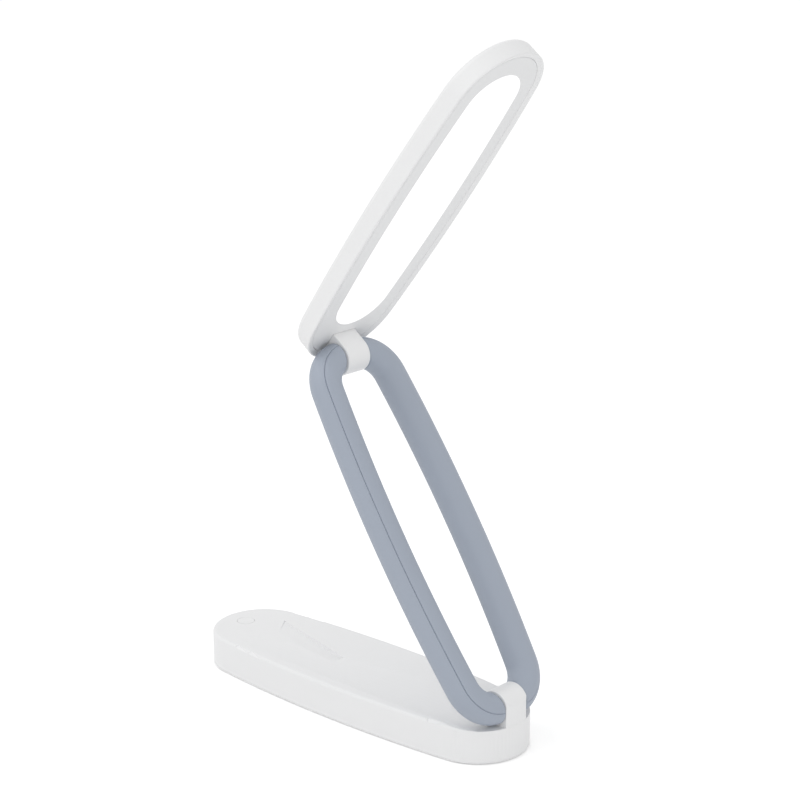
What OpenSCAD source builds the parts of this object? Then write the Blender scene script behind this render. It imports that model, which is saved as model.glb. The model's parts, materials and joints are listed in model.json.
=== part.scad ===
// Folding desk lamp with a lit panel, a ring arm and an oval base.
// The origin is at the middle of the base's bottom. +Z is up, +X points to the hinged end of the base.
// The arm and the head are drawn folded flat in frames of their own and turned into the shown pose.

/* [Base] */
// Length of the base
base_l = 200; // [190:1:230]
// Greatest width of the base, at half its length
base_w = 60; // [58:0.5:70]
// Radius of the base's ends
base_end_r = 26; // [25:0.5:28]
// Height of the base's top above the desk
base_h = 18.5; // [18:0.5:24]
// Radius of the rounded top edge
shoulder_r = 1.6; // [0.8:0.1:2.4]
// Wall of the base shell
base_wall = 2; // [1.6:0.1:2.4]

/* [Hinges] */
// Distance from a hinge axis to the end of the base and of the head
hinge_inset = 8.6; // [8.6:0.1:10]
// Height of the base hinge above the desk
hinge_h = 25.6; // [25:0.1:34]
// Width of the hinge lugs
lug_w = 15; // [14:0.5:16]
// Gap between a lug and the arm on each side
lug_gap = 0.3; // [0.2:0.05:0.5]
// Radius of the hinge shafts
shaft_r = 3; // [2.6:0.1:3.4]
// Radial running clearance of the shafts in their bushes
shaft_play = 0.05; // [0.02:0.01:0.1]

/* [Arm] */
// Distance between the two hinge axes
arm_l = 184; // [176:1:200]
// Greatest width of the arm, between the tube centres
arm_w = 51.2; // [50:0.2:60]
// Radius of the arm's corners, at the tube centre
arm_corner_r = 16; // [14:0.1:17]
// Half length of the straight stretch at each end, between the corners
arm_bar = 6; // [5:0.1:7]
// Outer diameter of the arm tube
tube_d = 15.8; // [15:0.1:16]
// Wall of the arm tube
tube_wall = 1.8; // [1.4:0.1:2.2]
// Lean of the arm above the desk in the shown pose
arm_lean = 56.281; // [5:0.5:90]

/* [Head] */
// Length of the head
head_l = 199; // [190:1:215]
// Greatest width of the head
head_w = 61.6; // [60:0.2:70]
// Radius of the head's ends
head_end_r = 27.6; // [26:0.2:29]
// Thickness of the head, rim to back
head_t = 10.8; // [10.5:0.1:13]
// Slope of the head above the desk in the shown pose
head_slope = 53.116; // [0:0.5:90]
// Length of the lit window
window_l = 162; // [150:1:168]
// Greatest width of the lit window
window_w = 38; // [34:0.5:42]
// Radius of the window's ends
window_end_r = 16.4; // [14:0.2:17]
// Distance from the hinge end of the head to the window
window_inset = 23; // [20:0.5:24]

/* [Hidden] */

// Facets of round things, and of the long shallow side arcs
$fn = 72;
arc_fn = 900;
// Overrun of every cut past the face that it opens
cut = 1;
// Gap of a part that drops into a pocket, gap of a part pressed into its seat
seat_gap = 0.15;
press_gap = 0.02;
// Where arcs of different radius follow each other, one is drawn in by a hair and laps into the other
join_step = 0.02;
join_lap = 0.5;

// Colours
white = [0.93, 0.93, 0.94];
face_white = [0.90, 0.90, 0.91];
arm_grey = [0.62, 0.66, 0.71];
dark = [0.16, 0.16, 0.17];
steel = [0.72, 0.73, 0.75];
lit = [1.00, 1.00, 0.99];

// The sides swell at least this far past the ends, whose radii give way on a narrow outline
bow_least = 1.5;
base_turn_r = min(base_end_r, base_w / 2 - bow_least);
head_turn_r = min(head_end_r, head_w / 2 - bow_least);
window_turn_r = min(window_end_r, window_w / 2 - bow_least);
arm_turn_r = min(arm_corner_r, arm_w / 2 - arm_bar - bow_least);

// Places that several pieces share
hinge_x = base_l / 2 - hinge_inset;
tube_r = tube_d / 2;
lug_r = hinge_inset;
lug_edge_r = 0.6;
lug_step = 0.15;
bar_end = lug_w / 2 + lug_gap;
bush_wall = 1.45;
bush_r = shaft_r + shaft_play + bush_wall;
shaft_bore_r = 1.9;

// Base, from the desk upwards
pad_t = 0.8;
pad_inset = 4;
cover_t = 2.2;
cover_top = pad_t + cover_t;
top_free_t = 3.3;
top_hinge_t = 5.3;
cavity_free_z = base_h - top_free_t;
cavity_hinge_z = base_h - top_hinge_t;
step_inset = 86;
step_x = step_inset - base_l / 2;
screw_end_inset = 28;
screw_wall_room = 4.7;
screw_x = base_l / 2 - screw_end_inset;
screw_y = base_turn_r - screw_wall_room;
screw_shank_r = 1.1;
screw_head_r = 2.3;
screw_head_t = 1.3;
boss_r = 2.6;

// Dish in the top, for the fingers that lift the folded arm
dish_r = 56;
dish_end_inset = 48;
dish_l = base_l - dish_end_inset;
dish_depth = 3.3;
dish_y = -4;
dish_rise = 1.09;
dish_yaw = 4.2;
seat_lean = 4.2;
seat_play = 0.3;

// Board, battery and ballast
board_l = 58;
board_inset = 37;
board_x = board_inset - base_l / 2;
board_y = 0.5;
board_screw_room = 3.3;
board_w = 2 * (screw_y - board_screw_room);
board_t = 1.2;
board_corner_r = 10;
post_shares = [[-0.3, -0.22], [0.3, -0.32], [0.3, 0.1]];
post_h = 3.6;
post_r = 2.4;
board_z = cover_top + post_h;
board_top = board_z + board_t;
board_screw_r = 0.9;
board_screw_head_r = 1.8;
board_screw_head_t = 1;
usb_inset = 40;
usb_x = usb_inset - base_l / 2;
usb_w = 8.94;
usb_h = 3.26;
usb_l = 7.4;
usb_wall = 0.3;
usb_hole_gap = 0.25;
usb_lip = 0.5;
ballast_t = 3;
ballast_free_inset = 74;
ballast_hinge_inset = 16;
ballast_screw_room = 3.8;
ballast_x0 = ballast_free_inset - base_l / 2;
ballast_x1 = base_l / 2 - ballast_hinge_inset;
ballast_w = 2 * (screw_y - ballast_screw_room);
ballast_corner_r = 6;
battery_free_inset = 76;
battery_hinge_inset = 64;
battery_cable_room = 2.6;
battery_x0 = battery_free_inset - base_l / 2;
battery_x1 = base_l / 2 - battery_hinge_inset;
battery_y0 = -ballast_w / 2;
battery_t = 6.4;

// Touch key near the free end
key_inset = 13.4;
key_r = 4.5;
key_flange_r = 6;
key_flange_t = 0.8;
foam_r = 3;
key_x = key_inset - base_l / 2;

// Cables
cable_r = 1.1;
head_cable_r = 0.9;
cable_edge_room = 1.9;
cable_y = board_y + board_w / 2 - cable_edge_room;
battery_y1 = cable_y - battery_cable_room;
cable_rise = 1.4;
cable_z = board_top + cable_rise;
cable_bend = 3;
cable_room = 0.4;
cable_corner_r = 8;
header_l = 5;
header_w = 4;
header_h = 3;
cable_turn = cable_y - cable_bend;

// Head, counted from the hinge axis along the back direction
rim_z = 7.6;
face_z = 8.6;
rim_inset = 0.6;
slope_inset = 3.2;
back_edge_r = 3;
head_back_t = 2;
frame_t = 1.6;
ledge_inset = 5;
head_back = rim_z + head_t;
head_inner_z = head_back - head_back_t;
head_x = head_l / 2 - hinge_inset;
window_x = window_inset - hinge_inset + window_l / 2;
flange_w = 1.5;
flange_t = 0.8;
guide_t = 2.6;
guide_over = 2;
guide_side = 0.7;
guide_corner_r = 16;
sheet_t = 0.4;
flange_z = face_z + frame_t;
guide_z = flange_z + flange_t;
sheet_z = guide_z + guide_t;
rib_z = sheet_z + sheet_t;
rib_t = 1.6;
rib_count = 5;
chip_count = 20;
chip_l = 3;
chip_t = 0.8;
chip_h = 1.5;
strip_end_room = 16;
strip_l = window_l - 2 * strip_end_room;
strip_t = 1;
strip_h = 4;
guide_half_w = window_w / 2 + guide_side;
chip_gap = 0.2;
strip_y = guide_half_w + chip_gap + chip_t;
feed_rise = 0.2;
feed_z = guide_z + guide_t / 2 + feed_rise;
feed_bend = 3;
feed_x = 10.4;
feed_turn = 12;
feed_y = strip_y + strip_t / 2;

// Hinge fittings inside the arm tube
wall_end_t = 1.6;
tube_edge_r = 1.2;
shaft_head_r = 5;
shaft_head_t = 1.2;
washer_r = 5;
washer_t = 0.4;
washer_dish = 0.4;
nut_across = 8;
nut_t = 1.8;
fit_slack = 0.05;
shaft_tail = 0.3;
window_w_share = 0.22;
shaft_web = 1;
wall_in = bar_end + wall_end_t;
washer_y = wall_in + fit_slack;
nut_y = washer_y + washer_t + washer_dish + fit_slack;
shaft_end = nut_y + nut_t + shaft_tail;
seam_groove = 0.16;

// A bowed outline: round ends, long side arcs that meet them without a kink.
// l and w are its greatest length and width, r the corner radius and b half the straight end.
function side_r(l, w, r, b = 0) =
    (pow(l / 2 - r, 2) + pow(w / 2 - b, 2) - r * r) / (2 * (w / 2 - b - r));
function side_y(l, w, r, b = 0) = w / 2 - side_r(l, w, r, b);
function meet(l, w, r, b = 0) = atan2(b - side_y(l, w, r, b), l / 2 - r);

// Sweeps a profile round the outline. The profile's X is counted outwards from the outline, and a
// block's profile reaches in past the middle. The first profile is the sides', the second the end
// discs', which is drawn in by join_step.
module bowed_sweep(l, w, r) {
    turn = meet(l, w, r);
    for (s = [0, 1]) {
        mirror([0, s, 0])
            translate([0, side_y(l, w, r), 0])
                rotate([0, 0, turn])
                    rotate_extrude(angle = 180 - 2 * turn, $fn = arc_fn)
                        translate([side_r(l, w, r), 0])
                            children(0);
        mirror([s, 0, 0])
            translate([l / 2 - r, 0, 0])
                rotate([0, 0, 180])
                    rotate_extrude()
                        intersection() {
                            translate([r, 0])
                                children(1);
                            translate([0, -l])
                                square([l, 2 * l]);
                        }
    }
}

// Plan of the outline drawn in by inset on all sides
module bowed_plan(l, w, r, inset = 0) {
    big = side_r(l, w, r) - inset;
    x = big * cos(meet(l, w, r));
    union() {
        intersection() {
            translate([0, side_y(l, w, r)])
                circle(big, $fn = arc_fn);
            translate([0, -side_y(l, w, r)])
                circle(big, $fn = arc_fn);
            square([2 * x, w + r], center = true);
        }
        for (s = [-1, 1])
            translate([s * (l / 2 - r), 0])
                circle(r - inset - join_step);
    }
}

module bowed_plate(l, w, r, inset, z, h) {
    translate([0, 0, z])
        linear_extrude(h)
            bowed_plan(l, w, r, inset);
}

module round_rect(x0, x1, y0, y1, r, z, h) {
    translate([0, 0, z])
        linear_extrude(h) {
            translate([x0 + r, y0])
                square([x1 - x0 - 2 * r, y1 - y0]);
            translate([x0, y0 + r])
                square([x1 - x0, y1 - y0 - 2 * r]);
            for (x = [x0 + r, x1 - r], y = [y0 + r, y1 - r])
                translate([x, y])
                    circle(r);
        }
}

// Frames of the two hinges, with the arm and the head as they lie when folded flat
module at_arm() {
    translate([hinge_x, 0, hinge_h])
        rotate([0, arm_lean, 0])
            children();
}

module at_head() {
    translate([hinge_x - arm_l * cos(arm_lean), 0, hinge_h + arm_l * sin(arm_lean)])
        rotate([0, -head_slope, 0])
            children();
}

// A disc of radius r about the Y axis with rounded rims
module rimmed_disc(r, w, edge) {
    rotate([90, 0, 0])
        rotate_extrude() {
            translate([0, -w / 2])
                square([r - edge, w]);
            translate([0, edge - w / 2])
                square([r, w - 2 * edge]);
            for (s = [-1, 1])
                translate([r - edge, s * (w / 2 - edge)])
                    circle(edge, $fn = 32);
        }
}

// U-shaped hinge lug about the Y axis at the origin, with its straight part reaching up to z
module lug(z) {
    rimmed_disc(lug_r, lug_w, lug_edge_r);
    round_rect(-lug_r, lug_r, -lug_w / 2, lug_w / 2, lug_edge_r, 0, z);
}

// Cable runs, each drawn at any radius, so that the same run also cuts its channel
module bend(turn_r, r, angle) {
    rotate_extrude(angle = angle)
        translate([turn_r, 0])
            circle(r, $fn = 24);
}

module rod(length, r) {
    rotate([0, 90, 0])
        cylinder(length, r = r, $fn = 24);
}

// From the board along the cavity, round to the hinge and up the lug
module base_run(r) {
    x0 = board_x + board_l / 2 - header_w / 2;
    x1 = hinge_x - cable_turn;
    top = hinge_h - shaft_r - shaft_play - cable_room / 2;
    translate([x0, cable_y, cable_z])
        rod(x1 - x0, r);
    translate([x1, cable_bend, cable_z])
        bend(cable_turn, r, 90);
    translate([hinge_x, cable_bend, cable_z + cable_bend])
        rotate([0, 90, 0])
            rotate([0, 0, -90])
                bend(cable_bend, r, 90);
    translate([hinge_x, 0, cable_z + cable_bend])
        cylinder(top - cable_z - cable_bend, r = r, $fn = 24);
}

// From the hinge up the head's lug, out beside the light guide and on to the first strip
module head_run(r) {
    start = shaft_r + shaft_play + cable_room / 2;
    translate([0, 0, start])
        cylinder(feed_z - feed_bend - start, r = r, $fn = 24);
    translate([feed_bend, 0, feed_z - feed_bend])
        rotate([90, 0, 0])
            rotate([0, 0, 90])
                bend(feed_bend, r, 90);
    translate([feed_bend, 0, feed_z])
        rod(feed_x - 2 * feed_bend, r);
    translate([feed_x - feed_bend, feed_bend, feed_z])
        rotate([0, 0, -90])
            bend(feed_bend, r, 90);
    translate([feed_x, feed_bend, feed_z])
        rotate([0, 0, 90])
            rod(feed_y - feed_turn - feed_bend, r);
    translate([feed_x + feed_turn, feed_y - feed_turn, feed_z])
        rotate([0, 0, 90])
            bend(feed_turn, r, 90);
    translate([feed_x + feed_turn, feed_y, feed_z])
        rod(window_x - strip_l / 2 - feed_x - feed_turn - seat_gap, r);
}

// Ring arm, folded flat: the base hinge at the origin, the head hinge at -X.
// Sweeps a profile along one limb, s = -1 near and 1 far. The profile's X points outwards.
// The first profile is the long side's. The second is the corners', which is drawn in by
// join_step and reaches join_lap past both ends.
module limb_sweep(s, r = arm_turn_r, b = arm_bar) {
    turn = meet(arm_l, arm_w, r, b);
    lap = join_lap / r * 180 / PI;
    translate([-arm_l / 2, 0, 0])
        mirror([0, s < 0 ? 1 : 0, 0]) {
            translate([0, side_y(arm_l, arm_w, r, b), 0])
                rotate([0, 0, turn])
                    rotate_extrude(angle = 180 - 2 * turn, $fn = arc_fn)
                        translate([side_r(arm_l, arm_w, r, b), 0])
                            children(0);
            for (m = [0, 1])
                mirror([m, 0, 0])
                    translate([arm_l / 2 - r, b, 0])
                        rotate([0, 0, -lap])
                            rotate_extrude(angle = turn + 2 * lap)
                                translate([r, 0])
                                    children(1);
        }
}

// Places a piece of revolution about each end bar. Its Z runs outwards along the bar.
module at_bars(s) {
    for (x = [0, -arm_l])
        translate([x, 0, 0])
            rotate([-90 * s, 0, 0])
                children();
}

module half_plane(up) {
    translate([-2 * tube_d, up > 0 ? 0 : -2 * tube_d])
        square([4 * tube_d, 2 * tube_d]);
}

// Section of one half of the tube, with a fine groove along the seam
module half_tube(up, step = 0) {
    difference() {
        intersection() {
            circle(tube_r - step, $fn = 72);
            half_plane(up);
        }
        circle(tube_r - tube_wall + step, $fn = 72);
        for (x = [-tube_r, tube_r])
            translate([x, 0])
                circle(seam_groove, $fn = 4);
    }
}

// One half of a limb: s is the side, up tells the upper half from the lower one.
// Both ends are cut square beside the lugs, with a rounded edge.
module half_limb(s, up) {
    difference() {
        limb_sweep(s) {
            half_tube(up);
            half_tube(up, join_step);
        }
        at_bars(s)
            rotate_extrude() {
                translate([0, arm_bar - 2 * join_lap])
                    square([2 * tube_r, bar_end - arm_bar + 2 * join_lap]);
                difference() {
                    translate([tube_r - tube_edge_r, bar_end - fit_slack])
                        square([tube_r, tube_edge_r + fit_slack]);
                    translate([tube_r - tube_edge_r, bar_end + tube_edge_r])
                        circle(tube_edge_r, $fn = 48);
                }
            }
    }
    // The end walls clamp the hinge shafts
    at_bars(s)
        rotate([0, 0, up * s > 0 ? 180 : 0])
            rotate_extrude(angle = 180)
                translate([shaft_r + fit_slack, bar_end])
                    square([tube_r - tube_wall / 2 - shaft_r - fit_slack, wall_end_t]);
}

module shaft_fit(x, open_angle) {
    translate([x, 0, 0])
        difference() {
            union() {
                rotate([90, 0, 0])
                    cylinder(2 * shaft_end, r = shaft_r, center = true);
                translate([0, wall_in + fit_slack, 0])
                    rotate([-90, 0, 0])
                        cylinder(shaft_head_t, r = shaft_head_r);
            }
            rotate([90, 0, 0])
                cylinder(2 * shaft_end + 2 * cut, r = shaft_bore_r, center = true);
            // Opening through which the cable enters at every angle of the hinge
            rotate([0, open_angle, 0])
                translate([-shaft_web, -window_w_share * lug_w / 2, -shaft_r - cut])
                    cube([shaft_r + shaft_web + cut, window_w_share * lug_w, 2 * (shaft_r + cut)]);
        }
}

module washer_fit(x) {
    inner = shaft_r + fit_slack;
    translate([x, -washer_y, 0])
        rotate([90, 0, 0])
            rotate_extrude()
                polygon([
                    [inner, washer_dish], [inner, washer_dish + washer_t],
                    [washer_r, washer_t], [washer_r, 0]
                ]);
}

module nut_fit(x) {
    translate([x, -nut_y, 0])
        rotate([90, 0, 0])
            difference() {
                cylinder(nut_t, r = nut_across / 2 / cos(30), $fn = 6);
                translate([0, 0, -cut])
                    cylinder(nut_t + 2 * cut, r = shaft_r + press_gap);
            }
}

module bush_fit() {
    difference() {
        rotate([90, 0, 0])
            cylinder(lug_w, r = bush_r, center = true);
        rotate([90, 0, 0])
            cylinder(lug_w + 2 * cut, r = shaft_r + shaft_play, center = true);
        children();
    }
}

// Base
module usb_plan(w, h) {
    square([w - h, h], center = true);
    for (x = [-1, 1])
        translate([x * (w - h) / 2, 0])
            circle(h / 2, $fn = 32);
}

module at_usb() {
    big = side_r(base_l, base_w, base_turn_r);
    wall_y = side_y(base_l, base_w, base_turn_r) + sqrt(pow(big, 2) - pow(usb_x, 2));
    translate([usb_x, wall_y - usb_lip, board_top + usb_h / 2])
        rotate([90, 0, 0])
            children();
}

// Section of the base as one block with a rounded shoulder
module base_section(step = 0) {
    depth = base_w / 2 + cut;
    translate([-depth, pad_t])
        square([depth - step, base_h - pad_t - shoulder_r]);
    translate([-depth, pad_t])
        square([depth - shoulder_r, base_h - step - pad_t]);
    translate([-shoulder_r - step, base_h - shoulder_r - step])
        circle(shoulder_r, $fn = 48);
}

module base_block() {
    bowed_sweep(base_l, base_w, base_turn_r) {
        base_section();
        base_section(join_step);
    }
}

module base_cavity() {
    bowed_plate(base_l, base_w, base_turn_r, base_wall, pad_t - cut, cavity_hinge_z - pad_t + cut);
    intersection() {
        bowed_plate(base_l, base_w, base_turn_r, base_wall, cavity_hinge_z - cut,
                    cavity_free_z - cavity_hinge_z + cut);
        translate([-base_l, -base_w, 0])
            cube([base_l + step_x, 2 * base_w, base_h]);
    }
}

module top_dish() {
    translate([hinge_x, dish_y, base_h - dish_depth + dish_r])
        rotate([0, 0, dish_yaw])
            rotate([0, -90 + dish_rise, 0])
                cylinder(dish_l, r = dish_r, $fn = 360);
}

// Room in the top for the tube at the hinge and for the lowered arm, level at the hinge and then
// rising with the arm
module arm_seat() {
    floor_z = hinge_h - (tube_r + seat_play) / cos(seat_lean);
    rise = base_h + cut - floor_z;
    translate([hinge_x, base_w, floor_z])
        rotate([90, 0, 0])
            linear_extrude(2 * base_w)
                polygon([[0, 0], [base_w, 0], [base_w, rise], [-rise / tan(seat_lean), rise]]);
}

module base_shell() {
    color(white)
        difference() {
            union() {
                difference() {
                    base_block();
                    union() {
                        top_dish();
                        arm_seat();
                    }
                    base_cavity();
                }
                // Bosses for the cover screws
                for (x = [-screw_x, screw_x], y = [-screw_y, screw_y])
                    translate([x, y, cover_top])
                        cylinder(cavity_free_z - cover_top + cut, r = boss_r);
                // Hinge lug, which follows the end of the base
                intersection() {
                    translate([hinge_x, 0, hinge_h])
                        mirror([0, 0, 1])
                            lug(hinge_h - cavity_hinge_z);
                    bowed_plate(base_l, base_w, base_turn_r, lug_step, 0, hinge_h + 2 * lug_r);
                }
            }
            for (x = [-screw_x, screw_x], y = [-screw_y, screw_y])
                translate([x, y, 0])
                    cylinder(cavity_hinge_z, r = screw_shank_r + press_gap, $fn = 32);
            translate([hinge_x, 0, hinge_h])
                rotate([90, 0, 0])
                    cylinder(lug_w + 2 * cut, r = bush_r + press_gap, center = true);
            base_run(cable_r + cable_room);
            translate([key_x, 0, 0])
                cylinder(base_h + cut, r = key_r + seat_gap);
            at_usb()
                translate([0, 0, -base_wall])
                    linear_extrude(3 * base_wall)
                        usb_plan(usb_w + 2 * usb_hole_gap, usb_h + 2 * usb_hole_gap);
        }
}

module post_places() {
    for (p = post_shares)
        translate([board_x + p[0] * board_l, board_y + p[1] * board_w, 0])
            children();
}

module base_cover() {
    color(dark)
        difference() {
            union() {
                bowed_plate(base_l, base_w, base_turn_r, base_wall + seat_gap, pad_t, cover_t);
                post_places()
                    translate([0, 0, cover_top])
                        cylinder(post_h, r = post_r);
            }
            for (x = [-screw_x, screw_x], y = [-screw_y, screw_y])
                translate([x, y, 0]) {
                    cylinder(cover_top + cut, r = screw_shank_r + seat_gap, $fn = 32);
                    cylinder(pad_t + screw_head_t, r = screw_head_r + seat_gap);
                }
            post_places()
                translate([0, 0, cover_top])
                    cylinder(post_h + cut, r = board_screw_r + press_gap, $fn = 32);
        }
}

module base_pad() {
    color(dark)
        bowed_plate(base_l, base_w, base_turn_r, pad_inset, 0, pad_t);
}

module base_screws() {
    color(steel)
        for (x = [-screw_x, screw_x], y = [-screw_y, screw_y])
            translate([x, y, pad_t]) {
                cylinder(screw_head_t, r = screw_head_r);
                cylinder(cavity_hinge_z - cover_top, r = screw_shank_r, $fn = 32);
            }
}

module ballast_plate() {
    color(steel)
        round_rect(ballast_x0, ballast_x1, -ballast_w / 2, ballast_w / 2, ballast_corner_r,
                   cover_top, ballast_t);
}

module battery() {
    color([0.75, 0.76, 0.78])
        round_rect(battery_x0, battery_x1, battery_y0, battery_y1, base_wall,
                   cover_top + ballast_t, battery_t);
}

module control_board() {
    color([0.10, 0.36, 0.20])
        difference() {
            union() {
                round_rect(board_x - board_l / 2, board_x + board_l / 2, board_y - board_w / 2,
                           board_y + board_w / 2, board_corner_r, board_z, board_t);
                translate([usb_x - usb_w / 2 - usb_wall, 0, board_z])
                    cube([usb_w + 2 * usb_wall, base_w / 2 - base_wall - usb_l / 2, board_t]);
            }
            post_places()
                cylinder(board_top + cut, r = board_screw_r + seat_gap, $fn = 32);
        }
}

module board_parts() {
    chip = [7, 7, 1];
    coil = [8, 8, 4];
    coil_room = 1;
    coil_y = board_y + post_shares[2][1] * board_w - board_screw_head_r - coil_room - coil[1];
    can_r = 3;
    can_h = 5;
    color(dark) {
        translate([board_x - chip[0] / 2, board_y - chip[1] / 2, board_top])
            cube(chip);
        translate([board_x + board_l / 5, coil_y, board_top])
            cube(coil);
        translate([board_x - board_l / 5, board_y - board_w / 3, board_top])
            cylinder(can_h, r = can_r);
        difference() {
            translate([board_x + board_l / 2 - header_l, cable_y - header_w / 2, board_top])
                cube([header_l, header_w, header_h]);
            base_run(cable_r + press_gap);
        }
    }
}

module board_screws() {
    color(steel)
        post_places()
            translate([0, 0, board_top]) {
                cylinder(board_screw_head_t, r = board_screw_head_r);
                translate([0, 0, -board_t - post_h + seat_gap])
                    cylinder(board_t + post_h, r = board_screw_r, $fn = 32);
            }
}

module usb_socket() {
    color(steel)
        at_usb() {
            difference() {
                linear_extrude(usb_l)
                    usb_plan(usb_w, usb_h);
                translate([0, 0, -cut])
                    linear_extrude(usb_l + cut - 2 * usb_wall)
                        usb_plan(usb_w - 2 * usb_wall, usb_h - 2 * usb_wall);
            }
            translate([-usb_w / 3, -usb_wall, usb_wall])
                cube([2 * usb_w / 3, 2 * usb_wall, usb_l - 2 * usb_wall]);
        }
}

module touch_key() {
    color(face_white)
        translate([key_x, 0, 0]) {
            translate([0, 0, cavity_free_z - key_flange_t])
                cylinder(key_flange_t, r = key_flange_r);
            translate([0, 0, cavity_free_z - key_flange_t])
                cylinder(base_h - cavity_free_z + key_flange_t, r = key_r);
        }
}

module touch_foam() {
    color(dark)
        translate([key_x, 0, board_top])
            cylinder(cavity_free_z - key_flange_t - board_top, r = foam_r);
}

module base_cable() {
    color(dark)
        base_run(cable_r);
}

module base_bush() {
    color([0.85, 0.80, 0.66])
        translate([hinge_x, 0, hinge_h])
            bush_fit()
                mirror([0, 0, 1])
                    cylinder(2 * bush_r, r = cable_r + cable_room);
}

// Arm
module base_shaft() {
    color(steel)
        at_arm()
            shaft_fit(0, 45);
}

module base_washer() {
    color(steel)
        at_arm()
            washer_fit(0);
}

module base_nut() {
    color(steel)
        at_arm()
            nut_fit(0);
}

module limb_near_upper() {
    color(arm_grey)
        at_arm()
            half_limb(-1, 1);
}

module limb_near_lower() {
    color(arm_grey)
        at_arm()
            half_limb(-1, -1);
}

module limb_far_upper() {
    color(arm_grey)
        at_arm()
            half_limb(1, 1);
}

module limb_far_lower() {
    color(arm_grey)
        at_arm()
            half_limb(1, -1);
}

module arm_cable() {
    color(dark)
        at_arm() {
            limb_sweep(-1, cable_corner_r, shaft_end) {
                circle(cable_r, $fn = 24);
                circle(cable_r - join_step, $fn = 24);
            }
            at_bars(-1)
                cylinder(shaft_end, r = cable_r, $fn = 24);
        }
}

module head_shaft() {
    color(steel)
        at_arm()
            shaft_fit(-arm_l, 180);
}

module head_washer() {
    color(steel)
        at_arm()
            washer_fit(-arm_l);
}

module head_nut() {
    color(steel)
        at_arm()
            nut_fit(-arm_l);
}

// Head
module head_bush() {
    color([0.85, 0.80, 0.66])
        at_head()
            bush_fit()
                cylinder(2 * bush_r, r = cable_r + cable_room);
}

// Section of the housing as one block, with a rounded rim and back edge
module head_section(step = 0) {
    depth = head_w / 2 + cut;
    translate([-depth, rim_z + rim_inset + step])
        square([depth - step, head_t - back_edge_r - rim_inset - 2 * step]);
    translate([-depth, rim_z + step])
        square([depth - rim_inset - step, head_t - back_edge_r]);
    translate([-rim_inset - step, rim_z + rim_inset + step])
        circle(rim_inset, $fn = 32);
    translate([-depth, rim_z + back_edge_r])
        square([depth - back_edge_r - step, head_t - back_edge_r - step]);
    translate([-back_edge_r - step, head_back - back_edge_r - step])
        circle(back_edge_r, $fn = 64);
}

// Section of the cut for the sloped border, which runs on along its slope into the frame's pocket
module head_border(step = 0) {
    across = slope_inset - rim_inset;
    down = face_z - rim_z;
    translate([-rim_inset - step, rim_z])
        polygon([[0, 0], [-2 * across, 2 * down], [-2 * across, -cut], [0, -cut]]);
}

module head_housing() {
    color(white)
        at_head()
            difference() {
                union() {
                    translate([head_x, 0, 0])
                        difference() {
                            bowed_sweep(head_l, head_w, head_turn_r) {
                                head_section();
                                head_section(join_step);
                            }
                            bowed_sweep(head_l, head_w, head_turn_r) {
                                head_border();
                                head_border(join_step);
                            }
                            bowed_plate(head_l, head_w, head_turn_r, slope_inset, rim_z - cut,
                                        flange_z - rim_z + cut);
                            bowed_plate(head_l, head_w, head_turn_r, ledge_inset, rim_z,
                                        head_inner_z - rim_z);
                        }
                    // Ribs behind the reflector sheet
                    for (i = [0 : rib_count - 1])
                        translate([window_x + ((i + 0.5) / rib_count - 0.5) * window_l, 0, 0])
                            translate([-rib_t / 2, -window_w / 2, rib_z])
                                cube([rib_t, window_w, head_inner_z - rib_z + cut]);
                    intersection() {
                        lug(head_inner_z + cut);
                        translate([head_x, 0, 0]) {
                            bowed_plate(head_l, head_w, head_turn_r, lug_step, -2 * lug_r,
                                        head_back - back_edge_r + 2 * lug_r);
                            bowed_plate(head_l, head_w, head_turn_r, back_edge_r, 0, head_back);
                        }
                    }
                }
                rotate([90, 0, 0])
                    cylinder(lug_w + 2 * cut, r = bush_r + press_gap, center = true);
                head_run(head_cable_r + cable_room);
            }
}

module window_plan(grow) {
    translate([window_x, 0, 0])
        bowed_plan(window_l, window_w, window_turn_r, -grow);
}

module head_frame() {
    color(face_white)
        at_head()
            difference() {
                translate([head_x, 0, 0])
                    bowed_plate(head_l, head_w, head_turn_r, slope_inset + seat_gap, face_z, frame_t);
                translate([0, 0, face_z - cut])
                    linear_extrude(frame_t + 2 * cut)
                        window_plan(seat_gap);
                translate([-head_l, -lug_w / 2 - seat_gap, face_z - cut])
                    cube([head_l + lug_r + seat_gap, lug_w + 2 * seat_gap, frame_t + 2 * cut]);
            }
}

module diffuser() {
    color(lit)
        at_head() {
            translate([0, 0, face_z])
                linear_extrude(frame_t + flange_t)
                    window_plan(0);
            translate([0, 0, flange_z])
                linear_extrude(flange_t)
                    window_plan(flange_w);
        }
}

module light_guide() {
    half_l = window_l / 2 + guide_over;
    color([0.80, 0.88, 0.92])
        at_head()
            round_rect(window_x - half_l, window_x + half_l, -guide_half_w, guide_half_w,
                       guide_corner_r, guide_z, guide_t);
}

module reflector_sheet() {
    half_l = window_l / 2 + guide_over;
    color([0.95, 0.95, 0.95])
        at_head()
            round_rect(window_x - half_l, window_x + half_l, -guide_half_w, guide_half_w,
                       guide_corner_r, sheet_z, sheet_t);
}

module led_strips() {
    strip_z = guide_z + guide_t / 2 - strip_h / 2 + seat_gap;
    color([0.92, 0.92, 0.88])
        at_head()
            for (s = [0, 1])
                mirror([0, s, 0])
                    translate([window_x - strip_l / 2, strip_y, strip_z])
                        cube([strip_l, strip_t, strip_h]);
}

module led_chips() {
    pitch = strip_l / chip_count;
    color([0.98, 0.90, 0.55])
        at_head()
            for (s = [0, 1], i = [0 : chip_count - 1])
                mirror([0, s, 0])
                    translate([window_x - strip_l / 2 + (i + 0.5) * pitch - chip_l / 2,
                               strip_y - chip_t, guide_z + guide_t / 2 - chip_h / 2])
                        cube([chip_l, chip_t, chip_h]);
}

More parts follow.
